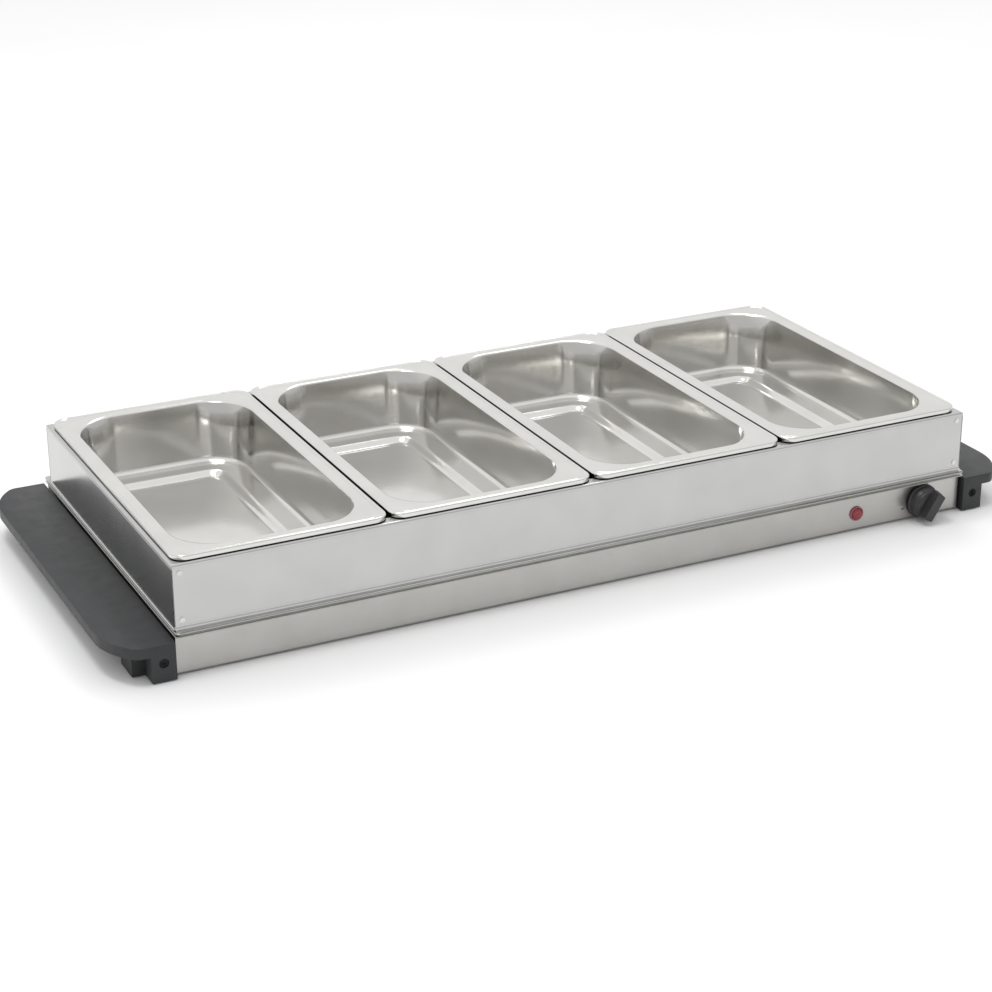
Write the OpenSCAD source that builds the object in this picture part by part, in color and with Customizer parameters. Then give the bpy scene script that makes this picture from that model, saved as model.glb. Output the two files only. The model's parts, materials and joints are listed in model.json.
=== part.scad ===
/* [Pans] */
// Width of one food pan across its rim
pan_w = 176; // [140:1:200]
// Length of one food pan across its rim
pan_l = 322; // [240:1:360]
// Inside depth of a pan from its rim to its floor
pan_depth = 59.4; // [48:0.1:90]
// Thickness of the pans' sheet steel
pan_sheet = 0.7; // [0.5:0.1:1]
// Width of the flat rim round a pan's opening
pan_flange = 12.6; // [11:0.1:16]
// Outer corner radius of a pan's rim
rim_corner_r = 12; // [6:0.5:18]
// Corner radius of a pan's opening
opening_r = 40; // [34:1:46]
// Depth of the turned-down edge of a pan's rim
rim_drop = 3.8; // [3:0.1:4.4]
// How far a pan's wall leans in between its rim and its fillet
wall_draft = 3.7; // [1:0.1:6]
// Radius between a pan's wall and its ledge
pan_fillet = 5; // [3:0.5:8]
// Width of the ledge round a pan's floor
ledge_w = 15.5; // [6:0.5:17]
// Drop from the ledge to the floor panel
ledge_drop = 4.4; // [2:0.1:6]
// Gap between two neighbouring pans
pan_gap = 2.4; // [1:0.1:6]
// Clearance from the warming plate to a pan's underside
pan_clearance = 2; // [1:0.1:6]

/* [Tray frame] */
// Distance from the frame's outer face to a pan's rim
rim_inset = 3.2; // [1:0.1:6]
// Thickness of the frame's sheet steel
frame_sheet = 0.8; // [0.6:0.1:1.2]
// Width of the hem that carries the pans
hem_w = 10.5; // [8:0.5:14]
// Outer bend radius of the hem
hem_r = 1.8; // [1.4:0.1:2.5]
// Gap between a pan's turned-down edge and the hem
rim_gap = 0.8; // [0.4:0.1:1.6]
// Reach of the frame's foot in front and behind
foot_flange = 5.3; // [4.5:0.1:8]
// Reach of the frame's foot at the two ends
foot_flange_end = 1; // [0.8:0.1:1.2]
// Radius of the cove above the frame's foot
cove_r = 2.5; // [2:0.1:4.4]
// Radius of a frame rivet's shank
rivet_r = 1.4; // [1:0.1:2]

/* [Base] */
// Height of the base's wall, from its bottom edge to the rim's underside
base_wall_h = 32.3; // [30:0.1:60]
// Clearance from the table to the base's bottom edge
ground_gap = 1.3; // [1:0.1:8]
// How much deeper the base is than the frame, at the back
rear_step = 10; // [4:0.5:30]
// Height of the warming plate's rolled rim
rim_h = 3.9; // [3:0.1:6]
// Overhang of the rim in front
rim_front = 6.1; // [5:0.1:10]
// Overhang of the rim behind
rim_back = 6; // [5:0.1:12]
// Overhang of the rim at the ends
rim_side = 1.2; // [0.5:0.1:1.6]
// Depth of the well below the top of the rim
well_depth = 3.7; // [3:0.1:8]
// Width of the rim's flat inside the frame's wall
rim_flat = 13; // [10:0.5:14]
// Edge radius of the rolled rim
rim_r = 1.2; // [1:0.1:1.8]
// Thickness of the base's sheet steel
base_sheet = 0.8; // [0.6:0.1:1]
// Width of the inward flange along the base's bottom edge
base_flange = 12; // [10:0.5:20]

/* [Handles] */
// Reach of a handle plate from the base's end
handle_reach = 51.9; // [44:0.1:80]
// Height of the handle plate's upper face above the table
handle_top = 31.5; // [26:0.1:32]
// Thickness of the handle plate's edge
handle_edge = 8.9; // [8:0.1:10]
// Wall thickness of the handle mouldings
handle_wall = 3; // [2.5:0.1:4]
// Width of the handle plate's rounded corner along its front edge
handle_corner_w = 25; // [22:0.5:30]
// Length of the handle plate's rounded corner along its outer side
handle_corner_l = 45; // [35:0.5:50]
// Gap between a handle and the base's end wall
handle_gap = 1.8; // [1:0.1:3]
// Width of a leg's outer block
leg_w = 19.6; // [16:0.1:24]
// Depth of a leg's outer block
leg_d = 17.5; // [14:0.1:24]
// Extra width of a leg's inner block
leg_step_w = 10.6; // [6:0.1:16]
// Depth of a leg's inner block
leg_step_d = 26.4; // [20:0.1:40]
// Radius of a rubber foot pad
pad_r = 6.5; // [5:0.1:7]
// How far a foot pad stands out of its leg
pad_proud = 0.8; // [0.5:0.1:0.9]

/* [Controls] */
// Distance from the base's right end to the knob's axis
knob_from_end = 38.6; // [30:0.1:60]
// Height of the knob's axis above the table
knob_z = 16.3; // [16:0.1:18]
// Radius of the knob's skirt
knob_r = 15; // [12:0.1:15]
// Reach of the knob in front of the base
knob_reach = 21.3; // [18:0.1:30]
// Width of the knob's grip bar
grip_w = 9.5; // [7:0.1:11]
// Angle of the knob's pointer at rest, clockwise from straight up
pointer_angle = 213; // [180:1:240]
// Radius of the thermostat's shaft
shaft_r = 3; // [2.5:0.1:3.5]
// Radial clearance of the shaft in its bearing
shaft_clearance = 0.05; // [0.02:0.01:0.1]
// Distance between the knob's axis and the indicator's
lamp_spacing = 67.4; // [50:0.1:120]
// Outer radius of the indicator's bezel
lamp_r = 6.6; // [5:0.1:8]
// Bore radius of the mains lead's inlet bush
inlet_bore_r = 3.6; // [3:0.1:4.5]

/* [Heating] */
// Radius of the tubular heating element
element_r = 3.25; // [2.5:0.05:4]
// Distance from the frame's outer face to the element's outermost runs
element_margin = 65.2; // [60:0.1:70]
// Thickness of the insulating mat
mat_t = 9; // [5:0.5:12]

/* [Hidden] */
$fn = 48;
eps = 0.01;
fit_gap = 0.1;

// Plan sizes, worked out from the pans outwards
pan_count = 4;
pan_pitch = pan_w + pan_gap;
frame_w = pan_count * pan_w + (pan_count - 1) * pan_gap + 2 * rim_inset;
frame_d = pan_l + 2 * rim_inset;
base_margin = 0.2;
base_w = frame_w + 2 * base_margin;
base_d = frame_d + rear_step;
overall_d = knob_reach + base_d + rim_back;
front_y = knob_reach - overall_d / 2;
back_y = front_y + base_d;
frame_back_y = front_y + frame_d;
pans_y = front_y + frame_d / 2;
rim_x = base_w / 2 + rim_side;

// Heights
rim_under_z = ground_gap + base_wall_h;
rim_top_z = rim_under_z + rim_h;
well_z = rim_top_z - well_depth;
frame_z = rim_top_z + fit_gap;
pan_top_z = well_z + pan_clearance + pan_sheet + pan_depth;
hem_z = pan_top_z - rim_drop - rim_gap;
frame_h = hem_z - frame_z;
// Height of a pan's flat flange against the bead round its rim
flange_z = -0.45;
hem_upstand = rim_gap + rim_drop + flange_z - pan_sheet;

// Well of the warming plate
well_x = frame_w / 2 - rim_flat;
well_front_y = front_y + rim_flat;
well_back_y = frame_back_y - rim_flat;

// Base inside
cover_z = ground_gap + base_sheet;
inside_z = cover_z + base_sheet;
plate_under_z = well_z - base_sheet;
inner_x = base_w / 2 - base_sheet;
knob_x = base_w / 2 - knob_from_end;
lamp_x = knob_x - lamp_spacing;

// Handles
handle_x = base_w / 2 + handle_gap;
handle_out_x = base_w / 2 + handle_reach;
handle_front_y = front_y - rim_front;
handle_back_y = back_y + rim_back;
handle_under_z = handle_top - handle_edge;
leg_bottom_z = pad_proud;
boss_r = 5;
screw_r = 1.9;
head_r = 3.4;
recess_r = 3.8;
recess_depth = 2.2;
handle_screw_z = 13;
// Handle screws along the base's end, measured from the middle of the pans
handle_screw_inset = 64.2;
handle_screw_y = [for (k = [-1 : 1]) k * (frame_d / 2 - handle_screw_inset)];
leg_screw_z = knob_z - 0.4;
leg_pilot_len = leg_d - 3;
pad_inset = leg_d + 6;
pad_depth = 2.2;
inner_wall_drop = 8;
boss_len = handle_gap + handle_wall + 4;

// Heating
element_z = plate_under_z - 0.2 - element_r;
element_runs = 4;
run_pitch = (frame_d - 2 * element_margin) / (element_runs - 1);
element_right_x = knob_x - 56;
element_left_x = -well_x + 45;
element_y = pans_y - (element_runs - 1) / 2 * run_pitch;
reflector_z = element_z - element_r - 4;
reflector_sheet = 0.6;
reflector_front_y = front_y + 36;
reflector_back_y = well_back_y + 3;
reflector_right_x = element_right_x + 12;
reflector_left_x = -well_x + 5;
reflector_gap = 0.6;
post_r = 3;
sleeve_len = 6;
pin_len = 8;
pin_r = 1.2;

// Thermostat
body_w = 30;
body_h = 21;
body_depth = 22;
bush_len = 5;
bush_r = 5;
bracket_screw_r = 1.5;
bracket_screw_x = 11;
blade_x = 8;
blade_len = 8;
body_y = front_y + base_sheet + bush_len;
shaft_len_inside = 10;

// Terminal block and inlet at the back, right
block_x = knob_x - 6;
block_y = back_y - 44;
inlet_x = block_x;
inlet_z = 16;
inlet_flange_r = 8.5;
inlet_body_r = 6.5;

// Places along the base that keep their distance from its ends, its back or the thermostat
cover_screw_from_knob = 20.4;
cover_screw_x = [for (k = [-1.5 : 1.5]) k / 1.5 * (knob_x - cover_screw_from_knob)];
cover_screw_in = base_flange - 4.5;
cover_screw_y = [front_y + cover_screw_in, back_y - cover_screw_in];
cover_screw_r = 1.45;
vent_x = base_w / 2 - 79;
fuse_y = back_y - 134.2;
earth_y = back_y - 114.2;

module bend(r, t, quarter) {
    rotate(90 * quarter)
        intersection() {
            difference() {
                circle(r);
                circle(r - t);
            }
            square(r);
        }
}

// Cuboid from its lowest and highest corners
module box(low, high) {
    translate(low) cube(high - low);
}

module round_rect(low, high, r) {
    translate([low[0], low[1] + r]) square([high[0] - low[0], high[1] - low[1] - 2 * r]);
    translate([low[0] + r, low[1]]) square([high[0] - low[0] - 2 * r, high[1] - low[1]]);
    for (x = [low[0] + r, high[0] - r])
        for (y = [low[1] + r, high[1] - r])
            translate([x, y]) circle(r);
}

// Runs a profile drawn as [y, z] along X from x0 to x1
module along_x(x0, x1) {
    translate([x0, 0, 0])
        rotate([90, 0, 90])
            linear_extrude(x1 - x0) children();
}

// Runs a profile drawn as [x, z] along Y from y0 to y1
module along_y(y0, y1) {
    translate([0, y1, 0])
        rotate([90, 0, 0])
            linear_extrude(y1 - y0) children();
}

// Slab whose four long edges at top and bottom are rounded
module rolled_slab(low, high, r) {
    intersection() {
        along_x(low[0], high[0]) round_rect([low[1], low[2]], [high[1], high[2]], r);
        along_y(low[1], high[1]) round_rect([low[0], low[2]], [high[0], high[2]], r);
    }
}

// ---------- pans ----------

// Profile of a pan as [inset from the rim's edge, height below the rim's top]
fillet_steps = 4;
floor_slope = 7;
wall_top = [pan_flange, -2.4];
wall_low = [pan_flange + wall_draft, -(pan_depth - ledge_drop - pan_fillet)];
ledge_in = wall_low[0] + pan_fillet;
floor_in = ledge_in + ledge_w + floor_slope;
function fillet_points(r) = [
    for (k = [0 : fillet_steps])
        let (a = 90 * k / fillet_steps)
        [wall_low[0] + pan_fillet - r * cos(a), wall_low[1] - r * sin(a)]
];
pan_upper = concat(
    [
        [0, -rim_drop],
        [0, -1.1],
        [0.35, -0.35],
        [1.2, 0],
        [2.6, 0],
        [3.3, flange_z],
        [pan_flange - 2.4, flange_z],
        [pan_flange - 0.9, -1],
        wall_top
    ],
    fillet_points(pan_fillet),
    [
        [ledge_in + ledge_w, -(pan_depth - ledge_drop)],
        [ledge_in + ledge_w + 1.4, -(pan_depth - ledge_drop + 0.4)],
        [floor_in - 1.4, -(pan_depth - 0.4)],
        [floor_in, -pan_depth]
    ]
);
pan_lower = concat(
    [
        [floor_in, -pan_depth - pan_sheet],
        [floor_in - 1.6, -(pan_depth + pan_sheet - 0.4)],
        [ledge_in + ledge_w + 1.2, -(pan_depth - ledge_drop + pan_sheet + 0.4)],
        [ledge_in + ledge_w - 0.2, -(pan_depth - ledge_drop + pan_sheet)]
    ],
    [for (k = [fillet_steps : -1 : 0]) fillet_points(pan_fillet + pan_sheet)[k]],
    [
        [wall_top[0] - pan_sheet, wall_top[1] - 0.2],
        [pan_flange - 1.6, -1 - pan_sheet],
        [pan_flange - 2.6, flange_z - pan_sheet],
        [3, flange_z - pan_sheet],
        [1.4, -pan_sheet],
        [pan_sheet, -1.2],
        [pan_sheet, -rim_drop]
    ]
);
pan_path = concat(pan_upper, pan_lower);
corner_steps = 7;

// Corner radius at an inset: it grows across the flange, then follows the wall inwards
function corner_at(inset) =
    inset < pan_flange
        ? rim_corner_r + (opening_r - rim_corner_r) * pow(inset / pan_flange, 2)
        : max(opening_r - (inset - pan_flange), 1.5);
function pan_ring(p) =
    let (r = corner_at(p[0]), a = pan_w / 2 - p[0] - r, b = pan_l / 2 - p[0] - r)
    [
        for (q = [0 : 3])
            for (k = [0 : corner_steps])
                let (t = 90 * q + 90 * k / corner_steps)
                [
                    (q == 0 || q == 3 ? a : -a) + r * cos(t),
                    (q < 2 ? b : -b) + r * sin(t),
                    p[1]
                ]
    ];
ring_size = 4 * (corner_steps + 1);
path_size = len(pan_path);
pan_points = [for (p = pan_path) each pan_ring(p)];

function ring_quads(lower, upper) = [
    for (j = [0 : ring_size - 1])
        let (n = (j + 1) % ring_size)
        each [
            [lower * ring_size + j, upper * ring_size + j, upper * ring_size + n],
            [lower * ring_size + j, upper * ring_size + n, lower * ring_size + n]
        ]
];
upper_size = len(pan_upper);
pan_faces = concat(
    [for (i = [0 : upper_size - 2]) each ring_quads(i, i + 1)],
    [[for (j = [ring_size - 1 : -1 : 0]) (upper_size - 1) * ring_size + j]],
    [[for (j = [0 : ring_size - 1]) upper_size * ring_size + j]],
    [for (i = [upper_size : path_size - 2]) each ring_quads(i, i + 1)],
    ring_quads(path_size - 1, 0)
);

module pan(index) {
    color("silver")
        translate([(index - (pan_count - 1) / 2) * pan_pitch, pans_y, pan_top_z])
            polyhedron(points = pan_points, faces = pan_faces, convexity = 6);
}

// ---------- tray frame ----------

// Profile of a frame wall: the outer face is at 0 and the inside is at positive values
module frame_profile(flange, cove) {
    // Foot with its cove
    translate([-flange, 0]) square([flange - cove + eps, frame_sheet]);
    translate([-cove, frame_sheet + cove]) bend(cove + frame_sheet, frame_sheet, 3);
    // Wall
    translate([0, frame_sheet + cove]) square([frame_sheet, frame_h - frame_sheet - cove - hem_r]);
    // Hem
    translate([hem_r, frame_h - hem_r]) bend(hem_r, frame_sheet, 1);
    translate([hem_r, frame_h - frame_sheet]) square([hem_w - hem_r, frame_sheet]);
}

// Plan outline that mitres a wall of the frame at both ends
module mitre_plan(length, reach) {
    half = length / 2;
    linear_extrude(frame_h + hem_upstand + 2)
        polygon([
            [-half, -reach - 1], [half, -reach - 1], [half, 0],
            [half - hem_w - 2, hem_w + 2], [-half + hem_w + 2, hem_w + 2], [-half, 0]
        ]);
}

module frame_wall(length, flange, cove) {
    intersection() {
        along_x(-length / 2, length / 2) frame_profile(flange, cove);
        mitre_plan(length, flange);
    }
}

// Tab turned up from the hem's inner edge: the pans' rims rest on these
module hem_tab(x, length) {
    box(
        [x - length / 2, hem_w - frame_sheet, frame_h - frame_sheet],
        [x + length / 2, hem_w, frame_h + hem_upstand]
    );
}

tab_w = 11;
tab_low = cove_r + 3;
rivet_in = 6.2;
rivet_heights = [cove_r + 5.6, frame_h - 7.2];

module frame_long_panel(side) {
    color("gainsboro")
        translate([0, pans_y - side * frame_d / 2, frame_z])
            rotate(side > 0 ? 0 : 180)
                difference() {
                    union() {
                        frame_wall(frame_w, foot_flange, cove_r);
                        for (k = [0 : pan_count - 1])
                            hem_tab((k - (pan_count - 1) / 2) * pan_pitch, pan_w * 0.5);
                    }
                    frame_rivet_shanks();
                }
}

// Holes for the two rivets at each end of a long wall
module frame_rivet_shanks() {
    for (x = [-1, 1])
        for (z = rivet_heights)
            translate([x * (frame_w / 2 - rivet_in), -1, z])
                rotate([-90, 0, 0]) cylinder(r = rivet_r, h = 5);
}

module frame_end_panel(side) {
    color("gainsboro")
        translate([side * frame_w / 2, pans_y, frame_z])
            rotate(side > 0 ? 90 : -90) {
                frame_wall(frame_d, foot_flange_end, foot_flange_end);
                hem_tab(0, frame_d * 0.5);
                for (end = [-1, 1]) frame_tab(end);
            }
}

// Tab that lies behind the long wall and takes its rivets
module frame_tab(end) {
    inside = frame_d / 2 - 2 * frame_sheet;
    low_side = end > 0 ? inside : -inside - frame_sheet;
    difference() {
        box([low_side, frame_sheet / 2, tab_low], [low_side + frame_sheet, tab_w, frame_h - 4]);
        for (z = rivet_heights)
            translate([end * frame_d / 2 - 4, rivet_in, z])
                rotate([0, 90, 0]) cylinder(r = rivet_r, h = 8);
    }
}

module frame_rivets() {
    color("lightgray")
        for (side = [-1, 1])
            translate([0, pans_y - side * frame_d / 2, frame_z])
                rotate(side > 0 ? 0 : 180)
                    for (x = [-1, 1])
                        for (z = rivet_heights)
                            translate([x * (frame_w / 2 - rivet_in), 0, z])
                                rotate([-90, 0, 0]) rivet();
}

module rivet() {
    translate([0, 0, -0.5]) cylinder(r = rivet_r + 0.7, h = 0.5);
    cylinder(r = rivet_r, h = 2 * frame_sheet);
    translate([0, 0, 2 * frame_sheet]) cylinder(r = rivet_r + 0.7, h = 0.6);
}

// ---------- base ----------

// Rim round the warming plate: a sheet turned down inside, with a rolled outer edge
module rim_surround() {
    low = [-rim_x, front_y - rim_front, rim_under_z];
    high = [rim_x, back_y + rim_back, rim_top_z];
    wall = [base_sheet, base_sheet, base_sheet];
    color("silver") {
        difference() {
            rolled_slab(low, high, rim_r);
            box(low + wall, high - wall);
            box([-base_w / 2, front_y, rim_under_z - 1], [base_w / 2, back_y, rim_top_z - base_sheet]);
            box([-well_x, well_front_y, rim_under_z], [well_x, well_back_y, rim_top_z + 1]);
        }
        difference() {
            box(
                [-well_x - base_sheet, well_front_y - base_sheet, well_z],
                [well_x + base_sheet, well_back_y + base_sheet, rim_top_z - base_sheet / 2]
            );
            box([-well_x, well_front_y, well_z - 1], [well_x, well_back_y, rim_top_z + 1]);
        }
    }
}

// Flat heated sheet under the rim's turned-down wall
plate_lap = 4;
module warming_plate() {
    color("silver")
        box(
            [-well_x - plate_lap, well_front_y - plate_lap, plate_under_z],
            [well_x + plate_lap, well_back_y + plate_lap, well_z]
        );
}

// Sheet wall with a flange turned in along its bottom edge, drawn as [inwards, up]
bend_r = 1.8;
wall_top_z = rim_top_z - base_sheet - fit_gap;
module base_profile() {
    translate([bend_r, ground_gap]) square([base_flange - bend_r, base_sheet]);
    translate([bend_r, ground_gap + bend_r]) bend(bend_r, base_sheet, 2);
    translate([0, ground_gap + bend_r]) square([base_sheet, wall_top_z - ground_gap - bend_r]);
}

module panel_hole(x, z, r) {
    translate([x, front_y - 1, z]) rotate([-90, 0, 0]) cylinder(r = r, h = base_sheet + 2);
}

module base_front_panel() {
    color("darkgray")
        difference() {
            translate([0, front_y, 0]) along_x(-base_w / 2, base_w / 2) base_profile();
            panel_hole(knob_x, knob_z, bush_r + 0.2);
            panel_hole(lamp_x, knob_z, lens_r + fit_gap);
            for (s = [-1, 1]) panel_hole(knob_x + s * bracket_screw_x, knob_z, bracket_screw_r + fit_gap);
            cover_screw_holes();
        }
}

module base_back_panel() {
    color("darkgray")
        difference() {
            translate([0, back_y, 0]) rotate(180) along_x(-base_w / 2, base_w / 2) base_profile();
            translate([inlet_x, back_y - 2, inlet_z]) rotate([-90, 0, 0]) cylinder(r = inlet_body_r, h = 4);
            cover_screw_holes();
        }
}

module base_end(side) {
    color("darkgray")
        difference() {
            translate([side * base_w / 2, 0, 0])
                rotate(side > 0 ? 90 : -90)
                    along_x(
                        (side > 0 ? front_y : -back_y) + base_sheet + fit_gap,
                        (side > 0 ? back_y : -front_y) - base_sheet - fit_gap
                    )
                        end_profile();
            for (y = handle_screw_y)
                translate([side * base_w / 2, pans_y + y, handle_screw_z])
                    rotate([0, 90, 0]) cylinder(r = screw_r, h = 6, center = true);
            if (side > 0)
                translate([inner_x, earth_y, earth_z]) rotate([0, 90, 0])
                    cylinder(r = earth_r, h = 6, center = true);
        }
}

// An end wall: a plain strip that stands on the bottom cover's level
module end_profile() {
    translate([0, cover_z]) square([base_sheet, wall_top_z - cover_z]);
}

module cover_screw_holes() {
    for (x = cover_screw_x)
        for (y = cover_screw_y)
            translate([x, y, ground_gap - 1]) cylinder(r = cover_screw_r + 0.05, h = 4);
}

vent_w = 4;
vent_l = 46;
vent_pitch = 12;
dimple_r = 26;
dimple_x = vent_x - 130;
dimple_y = 75;
module bottom_cover() {
    edge = 0.4;
    color("gray")
        difference() {
            union() {
                box(
                    [-inner_x + edge, front_y + base_sheet + edge + 1, cover_z],
                    [inner_x - edge, back_y - base_sheet - edge - 1, inside_z]
                );
                for (x = [-1, 1])
                    for (y = [-1, 1])
                        translate([x * dimple_x, pans_y + y * dimple_y, cover_z - 0.6])
                            cylinder(r = dimple_r, h = 1);
            }
            cover_screw_holes();
            for (x = [-1, 1])
                for (k = [-4 : 4])
                    translate([x * vent_x + k * vent_pitch, pans_y, cover_z - 1])
                        linear_extrude(4)
                            round_rect([-vent_w / 2, -vent_l / 2], [vent_w / 2, vent_l / 2], vent_w / 2 - eps);
        }
}

module cover_screw() {
    translate([0, 0, ground_gap - 0.9]) cylinder(r = 2.8, h = 0.9);
    translate([0, 0, ground_gap - eps]) cylinder(r = cover_screw_r, h = 6);
}

module bottom_cover_screws() {
    color("dimgray")
        for (x = cover_screw_x)
            for (y = cover_screw_y)
                translate([x, y, 0])
                    difference() {
                        cover_screw();
                        for (a = [0, 90])
                            rotate(a) box([-1.6, -0.3, ground_gap - 1], [1.6, 0.3, ground_gap - 0.4]);
                    }
}

// ---------- handles ----------

// Each outer corner of a handle plate is two arcs of 45 degrees that meet smoothly
arc_steps = 8;
arc_far = sin(45);
arc_near = 1 - cos(45);
corner_side_r = (arc_far * handle_corner_l - arc_near * handle_corner_w) / (pow(arc_far, 2) - pow(arc_near, 2));
corner_front_r = (handle_corner_w - arc_near * corner_side_r) / arc_far;
handle_len = handle_back_y - handle_front_y;
function arc_points(centre, r, start) = [
    for (k = [0 : arc_steps - 1])
        let (a = start + 45 * k / arc_steps)
        centre + r * [cos(a), sin(a)]
];
function handle_half(inset) = concat(
    [[handle_x + inset, inset]],
    arc_points([handle_out_x - handle_corner_w, corner_front_r], corner_front_r - inset, -90),
    arc_points([handle_out_x - corner_side_r, handle_corner_l], corner_side_r - inset, -45),
    [[handle_out_x - inset, handle_corner_l]]
);

// Plan of a handle plate: square at the base, round at its two outer corners
module handle_plan(inset) {
    half = handle_half(inset);
    back = [for (k = [len(half) - 1 : -1 : 0]) [half[k][0], handle_len - half[k][1]]];
    translate([0, handle_front_y]) polygon(concat(half, back));
}

rib_count = 6;
rib_t = 2;
module handle_ribs() {
    span = handle_len - 2 * (leg_d + leg_step_d);
    for (k = [0 : rib_count - 1])
        translate([0, handle_front_y + leg_d + leg_step_d + span * (k + 0.5) / rib_count, 0])
            box(
                [handle_x + 1, -rib_t / 2, handle_under_z + 1.5],
                [handle_out_x - 1, rib_t / 2, handle_top - handle_wall / 2]
            );
}

// One leg: an outer block flush with the plate's end and a wider block behind it
module leg(end) {
    y_out = end < 0 ? handle_front_y : handle_back_y;
    y_mid = y_out - end * leg_d;
    y_in = y_mid - end * leg_step_d;
    top = handle_top - handle_wall / 2;
    difference() {
        union() {
            box([handle_x, min(y_out, y_mid), leg_bottom_z], [handle_x + leg_w, max(y_out, y_mid), top]);
            box(
                [handle_x, min(y_mid, y_in) - (end < 0 ? eps : 0), leg_bottom_z],
                [handle_x + leg_w + leg_step_w, max(y_mid, y_in) + (end < 0 ? 0 : eps), top]
            );
        }
        // Lightening pocket between the blocks' walls, open to the base
        box(
            [handle_x - 1, min(y_mid, y_in) + handle_wall, leg_bottom_z + 5],
            [handle_x + leg_w + leg_step_w - handle_wall, max(y_mid, y_in) - handle_wall, handle_under_z]
        );
        // Recess and pilot hole of the leg's screw
        translate([handle_x + leg_w / 2, y_out, leg_screw_z])
            rotate([end < 0 ? -90 : 90, 0, 0]) {
                translate([0, 0, -1]) cylinder(r = recess_r, h = recess_depth + 1);
                cylinder(r = screw_r, h = leg_pilot_len);
            }
        // Pocket of the foot pad
        translate([handle_x + leg_w / 2, y_out - end * pad_inset, leg_bottom_z - 1])
            cylinder(r = pad_r + fit_gap, h = pad_depth + 1);
    }
}

module handle_moulding() {
    difference() {
        union() {
            difference() {
                translate([0, 0, handle_under_z]) linear_extrude(handle_edge) handle_plan(0);
                translate([0, 0, handle_under_z - 1])
                    linear_extrude(handle_edge - handle_wall + 1) handle_plan(handle_wall);
            }
            intersection() {
                handle_ribs();
                translate([0, 0, handle_under_z]) linear_extrude(handle_edge) handle_plan(0.5);
            }
            leg(-1);
            leg(1);
            // Inner wall against the base
            box(
                [handle_x, handle_front_y + leg_d + leg_step_d - eps, handle_screw_z - inner_wall_drop],
                [handle_x + handle_wall, handle_back_y - leg_d - leg_step_d + eps, handle_under_z + 2]
            );
            // Bosses that meet the base's end wall
            for (y = handle_screw_y)
                translate([base_w / 2, pans_y + y, handle_screw_z])
                    rotate([0, 90, 0]) cylinder(r = boss_r, h = boss_len);
        }
        for (y = handle_screw_y)
            translate([base_w / 2 - 1, pans_y + y, handle_screw_z])
                rotate([0, 90, 0]) cylinder(r = screw_r, h = boss_len - 1);
    }
}

module left_handle() {
    color("dimgray") mirror([1, 0, 0]) handle_moulding();
}

module right_handle() {
    color("dimgray") handle_moulding();
}

// Pan-head screw with its head at the origin and its shank along +Z
module pan_screw(r, head, length) {
    difference() {
        translate([0, 0, -1.6]) cylinder(r = head, h = 1.6);
        for (a = [0, 90])
            rotate(a) box([-head * 0.55, -0.35, -2], [head * 0.55, 0.35, -1]);
    }
    translate([0, 0, -eps]) cylinder(r = r, h = length);
}

module handle_screws() {
    color("lightgray")
        for (side = [0, 1])
            mirror([side, 0, 0])
                for (y = handle_screw_y)
                    translate([inner_x, pans_y + y, handle_screw_z])
                        rotate([0, 90, 0])
                            pan_screw(screw_r, head_r, base_sheet + handle_gap + handle_wall + 1);
}

module leg_screws() {
    color("dimgray")
        for (side = [0, 1])
            mirror([side, 0, 0])
                for (end = [-1, 1])
                    translate([
                        handle_x + leg_w / 2,
                        (end < 0 ? handle_front_y : handle_back_y) - end * recess_depth,
                        leg_screw_z
                    ])
                        rotate([end < 0 ? -90 : 90, 0, 0])
                            pan_screw(screw_r, head_r, leg_pilot_len - recess_depth - 1.5);
}

module foot_pads() {
    color("black")
        for (side = [0, 1])
            mirror([side, 0, 0])
                for (end = [-1, 1])
                    translate([
                        handle_x + leg_w / 2,
                        (end < 0 ? handle_front_y : handle_back_y) - end * pad_inset,
                        0
                    ])
                        rotate_extrude()
                            polygon([
                                [0, 0], [pad_r - 0.6, 0], [pad_r, 0.6],
                                [pad_r, pad_proud + pad_depth], [0, pad_proud + pad_depth]
                            ]);
}

// ---------- heating ----------

bend_left_x = element_left_x + run_pitch / 2;
bend_right_x = element_right_x - 30 - run_pitch / 2;
bend_steps = 10;
element_sides = 16;

// Half circle between two runs: side 1 bulges towards +X
function half_turn(x, y, side) = [
    for (k = [0 : bend_steps])
        let (a = -90 + 180 * k / bend_steps)
        [x + side * run_pitch / 2 * cos(a), y + run_pitch / 2 * sin(a), element_z]
];
element_path = concat(
    [[element_right_x, element_y, element_z]],
    half_turn(bend_left_x, element_y + run_pitch / 2, -1),
    half_turn(bend_right_x, element_y + 1.5 * run_pitch, 1),
    half_turn(bend_left_x, element_y + 2.5 * run_pitch, -1),
    [[element_right_x, element_y + 3 * run_pitch, element_z]]
);

module heating_element() {
    color("slategray") tube(element_path, element_r, element_sides);
}

clamp_w = 12;
clamp_x = [element_left_x + 90, (element_left_x + element_right_x) / 2 - 20, element_right_x - 120];
module element_clamps() {
    color("lightgray")
        for (x = clamp_x)
            for (k = [0 : element_runs - 1])
                translate([x, element_y + k * run_pitch, 0]) clamp();
}

module clamp() {
    strap = 1;
    gap = 0.1;
    half = element_r + gap + strap;
    top = plate_under_z - fit_gap;
    difference() {
        union() {
            box([-clamp_w / 2, -half, element_z - half], [clamp_w / 2, half, top]);
            box([-clamp_w / 2, -half - 7, top - strap], [clamp_w / 2, half + 7, top]);
        }
        rotate([0, 90, 0])
            translate([-element_z, 0, -clamp_w]) cylinder(r = element_r + gap, h = 2 * clamp_w);
        box([-clamp_w, -element_r - gap, element_z], [clamp_w, element_r + gap, top + 1]);
    }
}

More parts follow.
